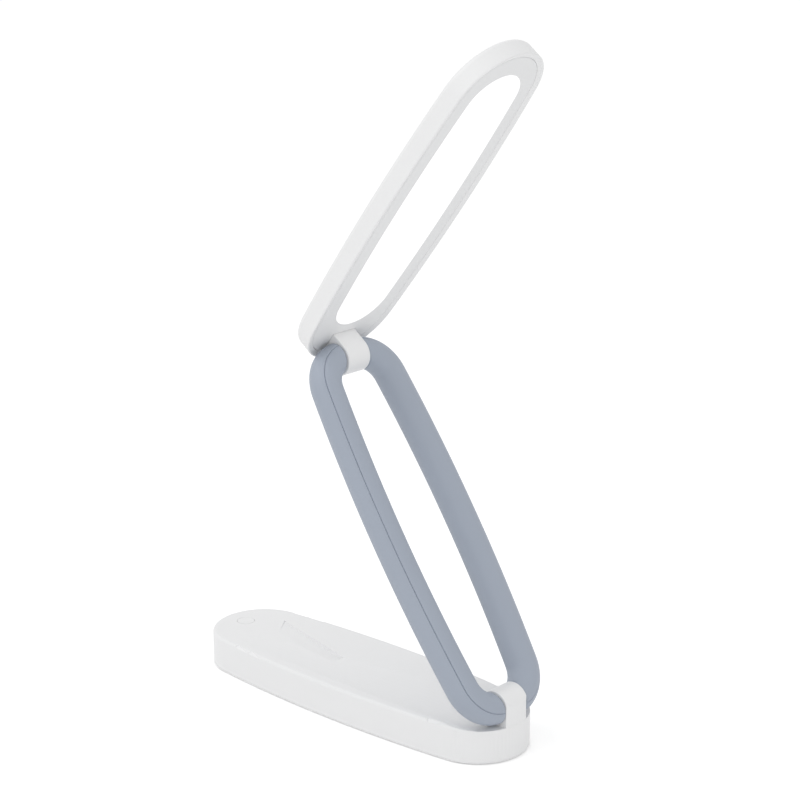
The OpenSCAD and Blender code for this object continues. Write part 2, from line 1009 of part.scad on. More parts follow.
module head_cable() {
    end_x = window_x + strip_l / 2 + seat_gap;
    color(dark)
        at_head() {
            head_run(head_cable_r);
            // Link between the two strips, round the end of the light guide
            translate([end_x, 0, feed_z])
                rotate([0, 0, -90])
                    bend(feed_y, head_cable_r, 180);
        }
}

base_shell();
base_cover();
base_pad();
base_screws();
ballast_plate();
battery();
control_board();
board_parts();
board_screws();
usb_socket();
touch_key();
touch_foam();
base_cable();
base_bush();
base_shaft();
base_washer();
base_nut();
limb_near_upper();
limb_near_lower();
limb_far_upper();
limb_far_lower();
arm_cable();
head_bush();
head_shaft();
head_washer();
head_nut();
head_housing();
head_frame();
diffuser();
light_guide();
reflector_sheet();
led_strips();
led_chips();
head_cable();
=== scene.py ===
"""Folding desk lamp with a lit panel.

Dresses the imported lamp: moulded finishes, the ring arm's tube halves with their parting lines, the
finger wedge in the base's top, the grip pad's studs, the finishes of the inner pieces and the studio.
"""

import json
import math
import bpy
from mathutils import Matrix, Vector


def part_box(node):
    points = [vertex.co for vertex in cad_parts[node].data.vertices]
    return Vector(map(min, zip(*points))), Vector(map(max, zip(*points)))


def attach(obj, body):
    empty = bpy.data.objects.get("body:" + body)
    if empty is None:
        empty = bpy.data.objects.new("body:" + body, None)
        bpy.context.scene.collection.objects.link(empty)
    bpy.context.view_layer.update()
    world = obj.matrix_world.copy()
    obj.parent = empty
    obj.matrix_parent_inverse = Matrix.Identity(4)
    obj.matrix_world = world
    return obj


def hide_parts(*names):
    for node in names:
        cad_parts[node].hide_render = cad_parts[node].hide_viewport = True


bl_info = {
    "name": "Folding desk lamp",
    "version": (1, 0, 0),
    "blender": (4, 5, 0),
    "location": "View3D > Sidebar > Lamp",
    "description": "Dresses the packed lamp with its finishes and sets up its studio",
    "category": "Object",
}

import bmesh
import bpy
from bpy.props import FloatProperty, FloatVectorProperty, PointerProperty
from mathutils import Matrix, Vector

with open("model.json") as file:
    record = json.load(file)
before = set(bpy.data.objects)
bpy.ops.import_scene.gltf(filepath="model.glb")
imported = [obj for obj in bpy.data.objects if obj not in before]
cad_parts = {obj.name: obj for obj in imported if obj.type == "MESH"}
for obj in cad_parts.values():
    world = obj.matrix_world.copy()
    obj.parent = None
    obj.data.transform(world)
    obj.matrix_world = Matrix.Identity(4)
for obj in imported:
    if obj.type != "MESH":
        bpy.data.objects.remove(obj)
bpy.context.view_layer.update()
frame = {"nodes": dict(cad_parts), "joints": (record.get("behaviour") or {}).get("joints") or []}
NODES = frame["nodes"]
HINGES = {joint["name"]: Vector(joint["pos_m"]) for joint in frame["joints"]}
MM = 0.001
UP = Vector((0, 0, 1))

SHELL_NODES = ("base_shell", "head_housing")
LIMB_NODES = ("limb_near_upper", "limb_near_lower", "limb_far_upper", "limb_far_lower")
STEEL_NODES = (
    "base_screws", "ballast_plate", "board_screws", "usb_socket",
    "base_shaft", "base_washer", "base_nut", "head_shaft", "head_washer", "head_nut",
)
CABLE_NODES = ("base_cable", "arm_cable", "head_cable")

# The ring arm runs from the base hinge to the head hinge and leans back by this angle
ARM_RUN = HINGES["head_hinge"] - HINGES["base_hinge"]
ARM_LEAN = math.atan2(ARM_RUN.z, -ARM_RUN.x)

# Rings and points of a tube half: the end face and its rounding, the corner, half of the long side
END_RINGS = 8
CORNER_RINGS = 16
SIDE_RINGS = 26
HALF_RINGS = END_RINGS + CORNER_RINGS + SIDE_RINGS
SECTION_POINTS = 49

# Steps on each side of the middle of the hollow's round floor
ARC_STEPS = 8

# Points on each end and on each side of the grip pad, and the grid that its studs are picked from
END_POINTS = 40
SIDE_POINTS = 60
STUD_COLUMNS = 50
STUD_ROWS = 16
STUD_SIDES = 12

# Edges that are sharper than this stay sharp on smooth pieces, and points closer than this are one
SHARP_ANGLE = math.radians(35)
SAME_POINT = 0.001 * MM

# Places of the two colours among the inputs of a Mix node, and of the mixed one among its outputs
MIX_FIRST = 6
MIX_SECOND = 7
MIX_RESULT = 2

# Dark and light tone of the finishes that a user has no reason to change
TONES = {
    "clear_guide": ((0.86, 0.93, 0.95), (0.95, 0.97, 0.97)),
    "reflector_film": ((0.86, 0.86, 0.86), (0.93, 0.93, 0.93)),
    "strip_board": ((0.80, 0.80, 0.77), (0.84, 0.84, 0.80)),
    "chip_phosphor": ((0.90, 0.72, 0.18), (0.95, 0.80, 0.30)),
    "foil_cell": ((0.60, 0.61, 0.63), (0.72, 0.73, 0.75)),
    "solder_mask": ((0.020, 0.130, 0.055), (0.035, 0.200, 0.085)),
    "moulded_chip": ((0.018, 0.018, 0.020), (0.035, 0.035, 0.037)),
    "conductive_foam": ((0.020, 0.020, 0.022), (0.06, 0.06, 0.065)),
    "cable_jacket": ((0.020, 0.020, 0.022), (0.040, 0.040, 0.044)),
}


class LampColours(bpy.types.PropertyGroup):
    """Colours of the lamp's finishes"""

    shell: FloatVectorProperty(
        name="Shell", description="White plastic of the base and the head",
        default=(0.832, 0.834, 0.838), size=3, subtype="COLOR", min=0, max=1)
    # Darker than the shell's white as painted shade: the head's face looks down and gets less light, and
    # this colour stands in for that shade
    face: FloatVectorProperty(
        name="Face", description="White plastic round the light",
        default=(0.798, 0.802, 0.808), size=3, subtype="COLOR", min=0, max=1)
    arm: FloatVectorProperty(
        name="Arm", description="Blue-grey plastic of the ring arm",
        default=(0.352, 0.392, 0.462), size=3, subtype="COLOR", min=0, max=1)
    glow: FloatVectorProperty(
        name="Glow", description="Light that the diffuser gives off",
        default=(1.0, 1.0, 0.996), size=3, subtype="COLOR", min=0, max=1)
    underside: FloatVectorProperty(
        name="Underside", description="Dark plastic of the bottom cover",
        default=(0.045, 0.046, 0.050), size=3, subtype="COLOR", min=0, max=1)
    pad: FloatVectorProperty(
        name="Pad", description="Soft rubber under the base",
        default=(0.030, 0.030, 0.032), size=3, subtype="COLOR", min=0, max=1)
    steel: FloatVectorProperty(
        name="Steel", description="Plain steel of the shafts, screws and ballast",
        default=(0.56, 0.57, 0.58), size=3, subtype="COLOR", min=0, max=1)
    bush: FloatVectorProperty(
        name="Bush", description="Low-friction plastic of the hinge bushes",
        default=(0.72, 0.66, 0.50), size=3, subtype="COLOR", min=0, max=1)
    diffuser: FloatVectorProperty(
        name="Diffuser",
        description="Frosted plastic of the diffuser itself, which its light outshines",
        default=(0.10, 0.10, 0.10), size=3, subtype="COLOR", min=0, max=1)
    chip_light: FloatVectorProperty(
        name="Chip light", description="Light that the chips beside the light guide give off",
        default=(1.0, 0.95, 0.82), size=3, subtype="COLOR", min=0, max=1)


class LampFinish(bpy.types.PropertyGroup):
    """Gloss and grain of the lamp's moulded parts"""

    shell_roughness: FloatProperty(
        name="Shell roughness", description="Gloss of the white plastic",
        default=0.46, min=0.05, max=1)
    arm_roughness: FloatProperty(
        name="Arm roughness", description="Gloss of the blue-grey plastic",
        default=0.52, min=0.05, max=1)
    key_polish: FloatProperty(
        name="Key polish", description="How much smoother the touch key is than the shell round it",
        default=0.08, min=0, max=0.4)
    cover_roughness: FloatProperty(
        name="Cover roughness", description="Gloss of the bottom cover",
        default=0.55, min=0.05, max=1)
    bush_roughness: FloatProperty(
        name="Bush roughness", description="Gloss of the hinge bushes",
        default=0.35, min=0.05, max=1)
    grain: FloatProperty(
        name="Grain", description="Size of the moulded texture's grain",
        default=0.35 * MM, unit="LENGTH", min=0.05 * MM, max=2 * MM)
    grain_depth: FloatProperty(
        name="Grain depth", description="Depth of the moulded texture",
        default=0.012 * MM, unit="LENGTH", min=0, max=0.1 * MM)
    grain_gloss: FloatProperty(
        name="Grain gloss", description="How much the gloss varies with the grain",
        default=0.06, min=0, max=0.3)
    cloud: FloatProperty(
        name="Cloud", description="Size of the patches over which tone and gloss drift",
        default=38 * MM, unit="LENGTH", min=5 * MM, max=200 * MM)
    cloud_gloss: FloatProperty(
        name="Cloud gloss", description="How much the gloss drifts from patch to patch",
        default=0.08, min=0, max=0.3)
    shell_drift: FloatProperty(
        name="Shell drift",
        description="Share by which the tone of the white parts and the bushes drifts",
        default=0.012, min=0, max=0.1)
    arm_drift: FloatProperty(
        name="Arm drift", description="Share by which the tone of the ring arm drifts",
        default=0.02, min=0, max=0.1)
    cover_drift: FloatProperty(
        name="Cover drift", description="Share by which the tone of the bottom cover drifts",
        default=0.05, min=0, max=0.2)
    glow_strength: FloatProperty(
        name="Glow strength", description="Strength of the diffuser's light, where 1 is white",
        default=0.98, min=0, max=5)
    chip_strength: FloatProperty(
        name="Chip strength", description="Strength of the light of the chips beside the light guide",
        default=0.4, min=0, max=5)


class LampBase(bpy.types.PropertyGroup):
    """Outline of the base, which the grip pad follows"""

    length: FloatProperty(
        name="Length", description="Length of the base",
        default=200 * MM, unit="LENGTH", min=190 * MM, max=230 * MM)
    width: FloatProperty(
        name="Width", description="Greatest width of the base, at half its length",
        default=60 * MM, unit="LENGTH", min=58 * MM, max=70 * MM)
    end_radius: FloatProperty(
        name="End radius", description="Radius of the base's ends",
        default=26 * MM, unit="LENGTH", min=25 * MM, max=28 * MM)


class LampArm(bpy.types.PropertyGroup):
    """Sizes of the ring arm's tube halves"""

    width: FloatProperty(
        name="Width", description="Greatest width of the ring, between the tube centres",
        default=51.2 * MM, unit="LENGTH", min=40 * MM, max=70 * MM)
    corner: FloatProperty(
        name="Corner", description="Radius of the ring's corners, at the tube centre",
        default=16 * MM, unit="LENGTH", min=10 * MM, max=18 * MM)
    bar: FloatProperty(
        name="Bar", description="Distance from the middle of the ring to the centres of its corners",
        default=6 * MM, unit="LENGTH", min=2 * MM, max=8 * MM)
    tube: FloatProperty(
        name="Tube", description="Outer radius of the tube",
        default=7.9 * MM, unit="LENGTH", min=5 * MM, max=8 * MM)
    end: FloatProperty(
        name="End", description="Distance from the middle of the ring to the end faces beside the lugs",
        default=7.8 * MM, unit="LENGTH", min=5 * MM, max=9 * MM)
    edge: FloatProperty(
        name="Edge", description="Rounding of the edge round the end faces",
        default=1.2 * MM, unit="LENGTH", min=0.2 * MM, max=2 * MM)
    shaft: FloatProperty(
        name="Shaft hole", description="Radius of the hole in the end faces",
        default=3.05 * MM, unit="LENGTH", min=2 * MM, max=4 * MM)
    wall: FloatProperty(
        name="Wall", description="Thickness of the tube's wall",
        default=1.5 * MM, unit="LENGTH", min=0.8 * MM, max=2 * MM)
    seam_head: FloatProperty(
        name="Seam at the head",
        description="Angle of the parting line from the outer side, at the head",
        default=math.radians(49), subtype="ANGLE", min=0, max=math.pi)
    seam_base: FloatProperty(
        name="Seam at the base",
        description="Angle of the parting line from the outer side, at the base",
        default=math.radians(56), subtype="ANGLE", min=0, max=math.pi)
    seam_width: FloatProperty(
        name="Seam width",
        description="Distance from the parting line at which the edges start to round",
        default=0.42 * MM, unit="LENGTH", min=0.1 * MM, max=1 * MM)
    seam_depth: FloatProperty(
        name="Seam depth", description="How deep the rounded edges dip at the parting line",
        default=0.5 * MM, unit="LENGTH", min=0, max=0.6 * MM)


class LampHollow(bpy.types.PropertyGroup):
    """Sizes of the hollow and the finger wedge in the base's top"""

    radius: FloatProperty(
        name="Radius", description="Radius of the hollow's round floor",
        default=56 * MM, unit="LENGTH", min=30 * MM, max=120 * MM)
    depth: FloatProperty(
        name="Depth", description="Depth of the hollow at the hinge",
        default=3.3 * MM, unit="LENGTH", min=0, max=3.5 * MM)
    length: FloatProperty(
        name="Length", description="Length of the hollow from the hinge axis",
        default=152 * MM, unit="LENGTH", min=100 * MM, max=180 * MM)
    off_middle: FloatProperty(
        name="Off middle", description="Place of the hollow's axis across the base, at the hinge",
        default=-4 * MM, unit="LENGTH", min=-10 * MM, max=10 * MM)
    yaw: FloatProperty(
        name="Yaw", description="Turn of the hollow away from the length of the base",
        default=math.radians(4.2), subtype="ANGLE", min=-0.2, max=0.2)
    rise: FloatProperty(
        name="Rise", description="Slope at which the hollow runs out",
        default=math.radians(1.09), subtype="ANGLE", min=0, max=0.1)
    run_out: FloatProperty(
        name="Run-out", description="Length of the pointed tip past the hollow's end",
        default=17 * MM, unit="LENGTH", min=5 * MM, max=25 * MM)
    lap: FloatProperty(
        name="Lap", description="How far the cuts reach past the faces that they open",
        default=0.5 * MM, unit="LENGTH", min=0.1 * MM, max=2 * MM)
    far_start: FloatVectorProperty(
        name="Wedge's tip", description="Place of the finger wedge's tip on the base's top",
        default=(-71.3 * MM, 13.8 * MM), size=2, subtype="XYZ", unit="LENGTH")
    far_end: FloatVectorProperty(
        name="Wedge's far end", description="End of the finger wedge's far wall",
        default=(-14.4 * MM, -0.4 * MM), size=2, subtype="XYZ", unit="LENGTH")
    near_start: FloatVectorProperty(
        name="Wedge's near start",
        description="Free end of the line where the wedge's floor meets the top",
        default=(-63.2 * MM, 2.2 * MM), size=2, subtype="XYZ", unit="LENGTH")
    near_end: FloatVectorProperty(
        name="Wedge's near end",
        description="Hinge end of the line where the wedge's floor meets the top",
        default=(-19.0 * MM, -12.0 * MM), size=2, subtype="XYZ", unit="LENGTH")
    wall_start: FloatProperty(
        name="Wedge at its tip", description="Depth of the finger wedge at its tip",
        default=0.5 * MM, unit="LENGTH", min=0.1 * MM, max=2 * MM)
    wall_end: FloatProperty(
        name="Wedge at its end", description="Depth of the finger wedge towards the hinge",
        default=1.9 * MM, unit="LENGTH", min=0.1 * MM, max=2.6 * MM)
    wall_slope: FloatProperty(
        name="Wedge wall", description="Slope of the finger wedge's far wall",
        default=math.radians(76), subtype="ANGLE", min=0.2, max=1.5)


class LampPad(bpy.types.PropertyGroup):
    """Sizes of the grip pad under the base"""

    inset: FloatProperty(
        name="Inset", description="Distance from the base's outline to the pad",
        default=4 * MM, unit="LENGTH", min=1 * MM, max=10 * MM)
    bevel: FloatProperty(
        name="Bevel", description="Bevel round the pad's lower edge",
        default=0.15 * MM, unit="LENGTH", min=0, max=0.3 * MM)
    edge: FloatProperty(
        name="Edge", description="Smooth border round the studs",
        default=2.6 * MM, unit="LENGTH", min=1 * MM, max=8 * MM)
    pitch: FloatProperty(
        name="Pitch", description="Distance between the studs",
        default=4 * MM, unit="LENGTH", min=2 * MM, max=10 * MM)
    stud_radius: FloatProperty(
        name="Stud radius", description="Radius of a stud at its root",
        default=1.15 * MM, unit="LENGTH", min=0.4 * MM, max=3 * MM)
    stud_taper: FloatProperty(
        name="Stud taper",
        description="Radius of a stud at its tip, as a share of the radius at its root",
        default=0.72, min=0.2, max=1)
    stud_height: FloatProperty(
        name="Stud height", description="How far a stud stands below the pad",
        default=0.3 * MM, unit="LENGTH", min=0.1 * MM, max=0.6 * MM)


class LampStudio(bpy.types.PropertyGroup):
    """Floor, lights and camera"""

    floor: FloatVectorProperty(
        name="Floor", description="Colour of the floor",
        default=(0.90, 0.90, 0.90), size=3, subtype="COLOR", min=0, max=1)
    floor_glow: FloatProperty(
        name="Floor glow",
        description="What is added to the floor for the camera, so that it reads as white",
        default=0.30, min=0, max=1)
    floor_reach: FloatProperty(
        name="Floor reach", description="Distance from the lamp to the edges of the floor",
        default=6.0, unit="LENGTH", min=1, max=20)
    sky: FloatProperty(
        name="Sky", description="Strength of the even light from all round",
        default=0.80, min=0, max=2)
    aim: FloatProperty(
        name="Aim", description="Height above the floor that the soft lights point at",
        default=0.12, unit="LENGTH", min=0, max=0.4)
    fill: FloatProperty(
        name="Fill", description="Power of the low light at the hinged end of the base",
        default=1.3, unit="POWER", min=0, max=100)
    fill_place: FloatVectorProperty(
        name="Fill place", description="Place of the low light",
        default=(1.10, -0.50, 0.22), size=3, subtype="XYZ", unit="LENGTH")
    fill_size: FloatVectorProperty(
        name="Fill size", description="Width and height of the low light",
        default=(0.9, 0.5), size=2, unit="LENGTH", min=0.01)
    key: FloatProperty(
        name="Key", description="Power of the large light at the upper left",
        default=5.0, unit="POWER", min=0, max=100)
    key_place: FloatVectorProperty(
        name="Key place", description="Place of the large light",
        default=(-0.55, -0.75, 1.25), size=3, subtype="XYZ", unit="LENGTH")
    key_size: FloatVectorProperty(
        name="Key size", description="Width and height of the large light",
        default=(1.2, 0.9), size=2, unit="LENGTH", min=0.01)
    azimuth: FloatProperty(
        name="Azimuth", description="Turn of the camera about the vertical, from the lamp's long side",
        default=math.radians(42.271), subtype="ANGLE", min=-math.pi, max=math.pi)
    elevation: FloatProperty(
        name="Elevation", description="Angle at which the camera looks down",
        default=math.radians(16.775), subtype="ANGLE", min=0, max=math.pi / 2)
    place: FloatVectorProperty(
        name="Camera place", description="Place of the camera",
        default=(0.697495, -0.740913, 0.465045), size=3, subtype="XYZ", unit="LENGTH", precision=6)
    lens: FloatProperty(
        name="Lens", description="Focal length of the camera in millimetres",
        default=98.17, min=10, max=400)
    sensor: FloatProperty(
        name="Sensor", description="Width of the camera's sensor in millimetres",
        default=36.0, min=10, max=60)
    nearest: FloatProperty(
        name="Nearest", description="Least distance that the camera shows",
        default=0.05, unit="LENGTH", min=0.001, max=1)
    farthest: FloatProperty(
        name="Farthest", description="Greatest distance that the camera shows",
        default=50.0, unit="LENGTH", min=2, max=500)


class Wire:
    """A socket of a node tree. Arithmetic on it adds the Math nodes."""

    def __init__(self, tree, socket):
        self.tree = tree
        self.socket = socket

    def _math(self, operation, first, second=None):
        values = {0: first} if second is None else {0: first, 1: second}
        return self.tree.add("ShaderNodeMath", {"operation": operation}, values)

    def __add__(self, other):
        return self._math("ADD", self, other)

    def __radd__(self, other):
        return self._math("ADD", other, self)

    def __sub__(self, other):
        return self._math("SUBTRACT", self, other)

    def __rsub__(self, other):
        return self._math("SUBTRACT", other, self)

    def __mul__(self, other):
        return self._math("MULTIPLY", self, other)

    def __rmul__(self, other):
        return self._math("MULTIPLY", other, self)

    def __truediv__(self, other):
        return self._math("DIVIDE", self, other)

    def __pow__(self, other):
        return self._math("POWER", self, other)

    def __abs__(self):
        return self._math("ABSOLUTE", self)

    def root(self):
        return self._math("SQRT", self)

    def sine(self):
        return self._math("SINE", self)

    def cosine(self):
        return self._math("COSINE", self)

    def arc_sine(self):
        return self._math("ARCSINE", self)

    def whole(self):
        return self._math("FLOOR", self)

    def centred(self):
        """A pattern from 0 to 1, less its middle."""
        return self - 0.5

    def below(self, other):
        return self._math("LESS_THAN", self, other)

    def least(self, other):
        return self._math("MINIMUM", self, other)

    def most(self, other):
        return self._math("MAXIMUM", self, other)


class Tree:
    """A node tree that is written as calls and expressions."""

    def __init__(self, nodes):
        self.tree = nodes
        for old in list(nodes.nodes):
            nodes.nodes.remove(old)

    def add(self, kind, settings=None, values=None, out=0):
        """A new node with its settings and the values or wires of its inputs. Returns one output."""
        node = self.tree.nodes.new(kind)
        for name, value in (settings or {}).items():
            setattr(node, name, value)
        for name, value in (values or {}).items():
            if isinstance(value, Wire):
                self.tree.links.new(value.socket, node.inputs[name])
            else:
                node.inputs[name].default_value = value
        return Wire(self, node.outputs[out]) if node.outputs else None

    def sibling(self, wire, out):
        """Another output of the node that a wire comes from."""
        return Wire(self, wire.socket.node.outputs[out])


class Finish(Tree):
    """A material on Object coordinates."""

    def __init__(self, name):
        self.material = bpy.data.materials.new(name)
        self.material.use_nodes = True
        super().__init__(self.material.node_tree)
        self.place = self.add("ShaderNodeTexCoord", out="Object")

    def noise(self, size, detail=2.0, roughness=0.5, place=None):
        """A cloudy pattern whose patches are about size across."""
        return self.add(
            "ShaderNodeTexNoise", {},
            {"Vector": place or self.place, "Scale": 1 / size, "Detail": detail, "Roughness": roughness})

    def cells(self, size):
        """Distance from the middle of the nearest of many cells that are about size across."""
        return self.add(
            "ShaderNodeTexVoronoi", {"feature": "F1"}, {"Vector": self.place, "Scale": 1 / size})

    def stretched(self, scale):
        """Object coordinates, scaled by axis."""
        return self.add("ShaderNodeMapping", {}, {"Vector": self.place, "Scale": scale})

    def blend(self, share, first, second):
        """The first colour where share is 0, the second where it is 1."""
        values = {"Factor": share, MIX_FIRST: rgba(first), MIX_SECOND: rgba(second)}
        return self.add("ShaderNodeMix", {"data_type": "RGBA"}, values, out=MIX_RESULT)

    def relief(self, height, depth, strength=1.0):
        """A bump whose highest and lowest points are depth apart."""
        values = {"Height": height, "Distance": depth, "Strength": strength}
        return self.add("ShaderNodeBump", {}, values)

    def surface(self, **values):
        """Principled shader with the given inputs. Returns the material."""
        named = {}
        for key, value in values.items():
            named[key.replace("_", " ").title().replace("Ior", "IOR")] = value
        for key in ("Base Color", "Emission Color"):
            if key in named:
                named[key] = rgba(named[key])
        shader = self.add("ShaderNodeBsdfPrincipled", {}, named)
        self.add("ShaderNodeOutputMaterial", {}, {"Surface": shader})
        return self.material

    def toned(self, pattern, gloss, swing=0.0, relief=None, tones=None, **values):
        """Surface whose colour, roughness and bump all follow one pattern.

        The roughness runs from gloss to gloss + swing. The relief is a depth and a strength.
        """
        dark, light = tones or TONES[self.material.name]
        roughness = gloss + pattern * swing if swing else gloss
        if relief is not None:
            values["normal"] = self.relief(pattern, *relief)
        return self.surface(base_color=self.blend(pattern, dark, light), roughness=roughness, **values)


def rgba(colour):
    """A colour of three numbers as one of four. A wire stays as it is."""
    return colour if isinstance(colour, Wire) else (*colour[:3], 1.0)


def shade(colour, share):
    """The colour made darker or lighter by a share."""
    return tuple(min(channel * share, 1.0) for channel in colour[:3])


def wear(material, *names):
    """Gives CAD nodes a finish."""
    for name in names:
        mesh = NODES[name].data
        mesh.materials.clear()
        mesh.materials.append(material)


def moulded(name, colour, roughness, drift):
    """Moulded plastic: fine even grain, a slow drift of tone and of gloss."""
    finish = bpy.context.scene.lamp_finish
    plan = Finish(name)
    grain = plan.noise(finish.grain, detail=3.0, roughness=0.6)
    cloud = plan.noise(finish.cloud, detail=3.0)
    tone = plan.blend(cloud, shade(colour, 1 - drift), shade(colour, 1 + drift))
    gloss = roughness + cloud.centred() * finish.cloud_gloss + grain.centred() * finish.grain_gloss
    bump = plan.relief(grain, finish.grain_depth, strength=0.6)
    return plan.surface(base_color=tone, roughness=gloss, ior=1.5, normal=bump)


def as_piece(name, data):
    """A new object in the scene that shows a mesh, a light or a camera."""
    piece = bpy.data.objects.new(name, data)
    bpy.context.scene.collection.objects.link(piece)
    return piece


def evaluated_mesh(piece):
    """A plain mesh of what a piece's modifiers make."""
    graph = bpy.context.evaluated_depsgraph_get()
    return bpy.data.meshes.new_from_object(piece.evaluated_get(graph))


def outward(piece):
    """Merges doubles and turns all faces of a closed piece outwards."""
    work = bmesh.new()
    work.from_mesh(piece.data)
    bmesh.ops.remove_doubles(work, verts=work.verts, dist=SAME_POINT)
    bmesh.ops.recalc_face_normals(work, faces=work.faces)
    work.to_mesh(piece.data)
    work.free()


def smooth(piece):
    """Smooth shading, with the sharper edges kept."""
    piece.data.shade_smooth()
    piece.data.set_sharp_from_angle(angle=SHARP_ANGLE)


def merged(node):
    """A copy of a CAD node, with its mark and its own mesh, whose loose triangles are joined."""
    piece = NODES[node].copy()
    piece.data = NODES[node].data.copy()
    piece.name = node + "_carved"
    bpy.context.scene.collection.objects.link(piece)
    outward(piece)
    return piece


def carve(piece, cutter):
    """Takes a closed solid out of a piece."""
    cut = piece.modifiers.new("cut", "BOOLEAN")
    cut.operation = "DIFFERENCE"
    cut.solver = "EXACT"
    cut.object = cutter
    mesh = evaluated_mesh(piece)
    piece.modifiers.clear()
    piece.data = mesh
    bpy.data.objects.remove(cutter)


def flat(piece):
    """Shading of every triangle by its own direction, as on the CAD meshes."""
    mesh = piece.data
    if "custom_normal" in mesh.attributes:
        mesh.attributes.remove(mesh.attributes["custom_normal"])
    mesh.polygons.foreach_set("use_smooth", [False] * len(mesh.polygons))
    mesh.update()


def hull(name, points):
    """The smallest convex solid round some points."""
    work = bmesh.new()
    for point in points:
        work.verts.new(point)
    bmesh.ops.convex_hull(work, input=work.verts)
    bmesh.ops.recalc_face_normals(work, faces=work.faces)
    mesh = bpy.data.meshes.new(name)
    work.to_mesh(mesh)
    work.free()
    return as_piece(name, mesh)


def run_out(top, sizes):
    """Pointed tip that lets the base's hollow fade out towards the free end."""
    along = Vector((-math.cos(sizes.yaw), -math.sin(sizes.yaw), 0))
    across = Vector((-along.y, along.x, 0))
    start = Vector((HINGES["base_hinge"].x, sizes.off_middle, top))
    end = start + along * sizes.length * math.cos(sizes.rise)
    tip = end + along * sizes.run_out
    deep = sizes.depth - sizes.length * math.sin(sizes.rise)
    half_width = math.sqrt(2 * sizes.radius * deep)
    points = [tip, tip + UP * sizes.lap]
    for step in range(-ARC_STEPS, ARC_STEPS + 1):
        share = step / ARC_STEPS
        rim = end - along * sizes.lap + across * half_width * share
        points.append(rim - UP * deep * (1 - share ** 2))
        points.append(rim + UP * sizes.lap)
    return hull("run_out", points)


def finger_wedge(top, sizes):
    """Wedge beside the hollow: a steep far wall that grows towards the hinge, and a sloped floor."""
    places = (sizes.far_start, sizes.far_end, sizes.near_start, sizes.near_end)
    far_start, far_end, near_start, near_end = (Vector((*place, top)) for place in places)
    along = (far_end - far_start).normalized()
    into = Vector((along.y, -along.x, 0)) / math.tan(sizes.wall_slope)
    points = []
    for place, depth in ((far_start, sizes.wall_start), (far_end, sizes.wall_end)):
        points.append(place + (UP - into) * sizes.lap)
        points.append(place + (into - UP) * depth)
    for place in (near_start, near_end):
        points.append(place)
        points.append(place + UP * sizes.lap)
    return hull("wedge", points)


class LAMP_OT_shell(bpy.types.Operator):
    """Satin white plastic of the base shell and the head housing, with the hollow in the base's top"""

    bl_idname = "lamp.shell"
    bl_label = "White shells"

    def execute(self, context):
        finish = context.scene.lamp_finish
        white = moulded(
            "satin_white", context.scene.lamp_colours.shell, finish.shell_roughness, finish.shell_drift)
        wear(white, *SHELL_NODES)

        sizes = context.scene.lamp_hollow
        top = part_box("touch_key")[1].z
        shell = merged("base_shell")
        carve(shell, run_out(top, sizes))
        carve(shell, finger_wedge(top, sizes))
        flat(shell)
        shell.name = "base_top_and_walls"
        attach(shell, "base")
        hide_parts("base_shell")
        return {"FINISHED"}


class LAMP_OT_face(bpy.types.Operator):
    """White plastic round the light and the touch key"""

    bl_idname = "lamp.face"
    bl_label = "Face and touch key"

    def execute(self, context):
        colours = context.scene.lamp_colours
        finish = context.scene.lamp_finish
        # The frame gets a darker copy of the shell's white plastic: painted shade for the
        # downward-facing side of the head
        face = moulded("face_white", colours.face, finish.shell_roughness, finish.shell_drift)
        wear(face, "head_frame")
        polished = finish.shell_roughness - finish.key_polish
        wear(moulded("key_white", colours.shell, polished, finish.shell_drift), "touch_key")
        return {"FINISHED"}


class LAMP_OT_light(bpy.types.Operator):
    """Lit diffuser, light guide, reflector sheet and strips"""

    bl_idname = "lamp.light"
    bl_label = "Light"

    def execute(self, context):
        colours = context.scene.lamp_colours
        strength = context.scene.lamp_finish.glow_strength
        plan = Finish("lit_diffuser")
        frost = plan.noise(0.5 * MM)
        light = plan.blend(plan.noise(60 * MM), shade(colours.glow, 0.985), colours.glow)
        lit = plan.surface(
            base_color=colours.diffuser, roughness=0.35 + frost * 0.1, emission_color=light,
            emission_strength=strength, normal=plan.relief(frost, 0.01 * MM, strength=0.5))
        wear(lit, "diffuser")

        plan = Finish("clear_guide")
        dots = plan.cells(1.6 * MM).below(0.3)
        wear(plan.toned(dots, gloss=0.08, swing=0.4, ior=1.49, alpha=0.55), "light_guide")

        plan = Finish("reflector_film")
        wrinkle = plan.noise(14 * MM, detail=3.0)
        wear(plan.toned(wrinkle, gloss=0.3, swing=0.15, relief=(0.15 * MM, 0.4)), "reflector_sheet")

        plan = Finish("strip_board")
        pitch = 2.5 * MM
        weave = plan.add(
            "ShaderNodeTexWave", {"bands_direction": "X"}, {"Vector": plan.place, "Scale": 1 / pitch})
        wear(plan.toned(weave, gloss=0.45, swing=0.05), "led_strips")
        return {"FINISHED"}


def baked(source, name):
    """The evaluated mesh of a carrier with a Geometry Nodes modifier, as a plain object."""
    piece = as_piece(name, evaluated_mesh(source))
    source.modifiers.clear()
    bpy.data.objects.remove(source)
    piece.data.name = name
    return piece


def carrier(name, tree, **inputs):
    """An empty mesh with the tree as its modifier and the named inputs set."""
    holder = as_piece(name + "_carrier", bpy.data.meshes.new(name + "_carrier"))
    modifier = holder.modifiers.new("build", "NODES")
    modifier.node_group = tree
    sockets = {item.name: item.identifier for item in tree.interface.items_tree}
    for key, value in inputs.items():
        modifier[sockets[key]] = value
    return holder


def geometry_tree(name, **kinds):
    """A Geometry Nodes group with named inputs. Returns the tree, its wires and the group."""
    group = bpy.data.node_groups.new(name, "GeometryNodeTree")
    for key, kind in kinds.items():
        group.interface.new_socket(key, in_out="INPUT", socket_type=kind)
    group.interface.new_socket("Geometry", in_out="OUTPUT", socket_type="NodeSocketGeometry")
    tree = Tree(group)
    first = tree.add("NodeGroupInput")
    wires = {key: Wire(tree, first.socket.node.outputs[key]) for key in kinds}
    return tree, wires, group


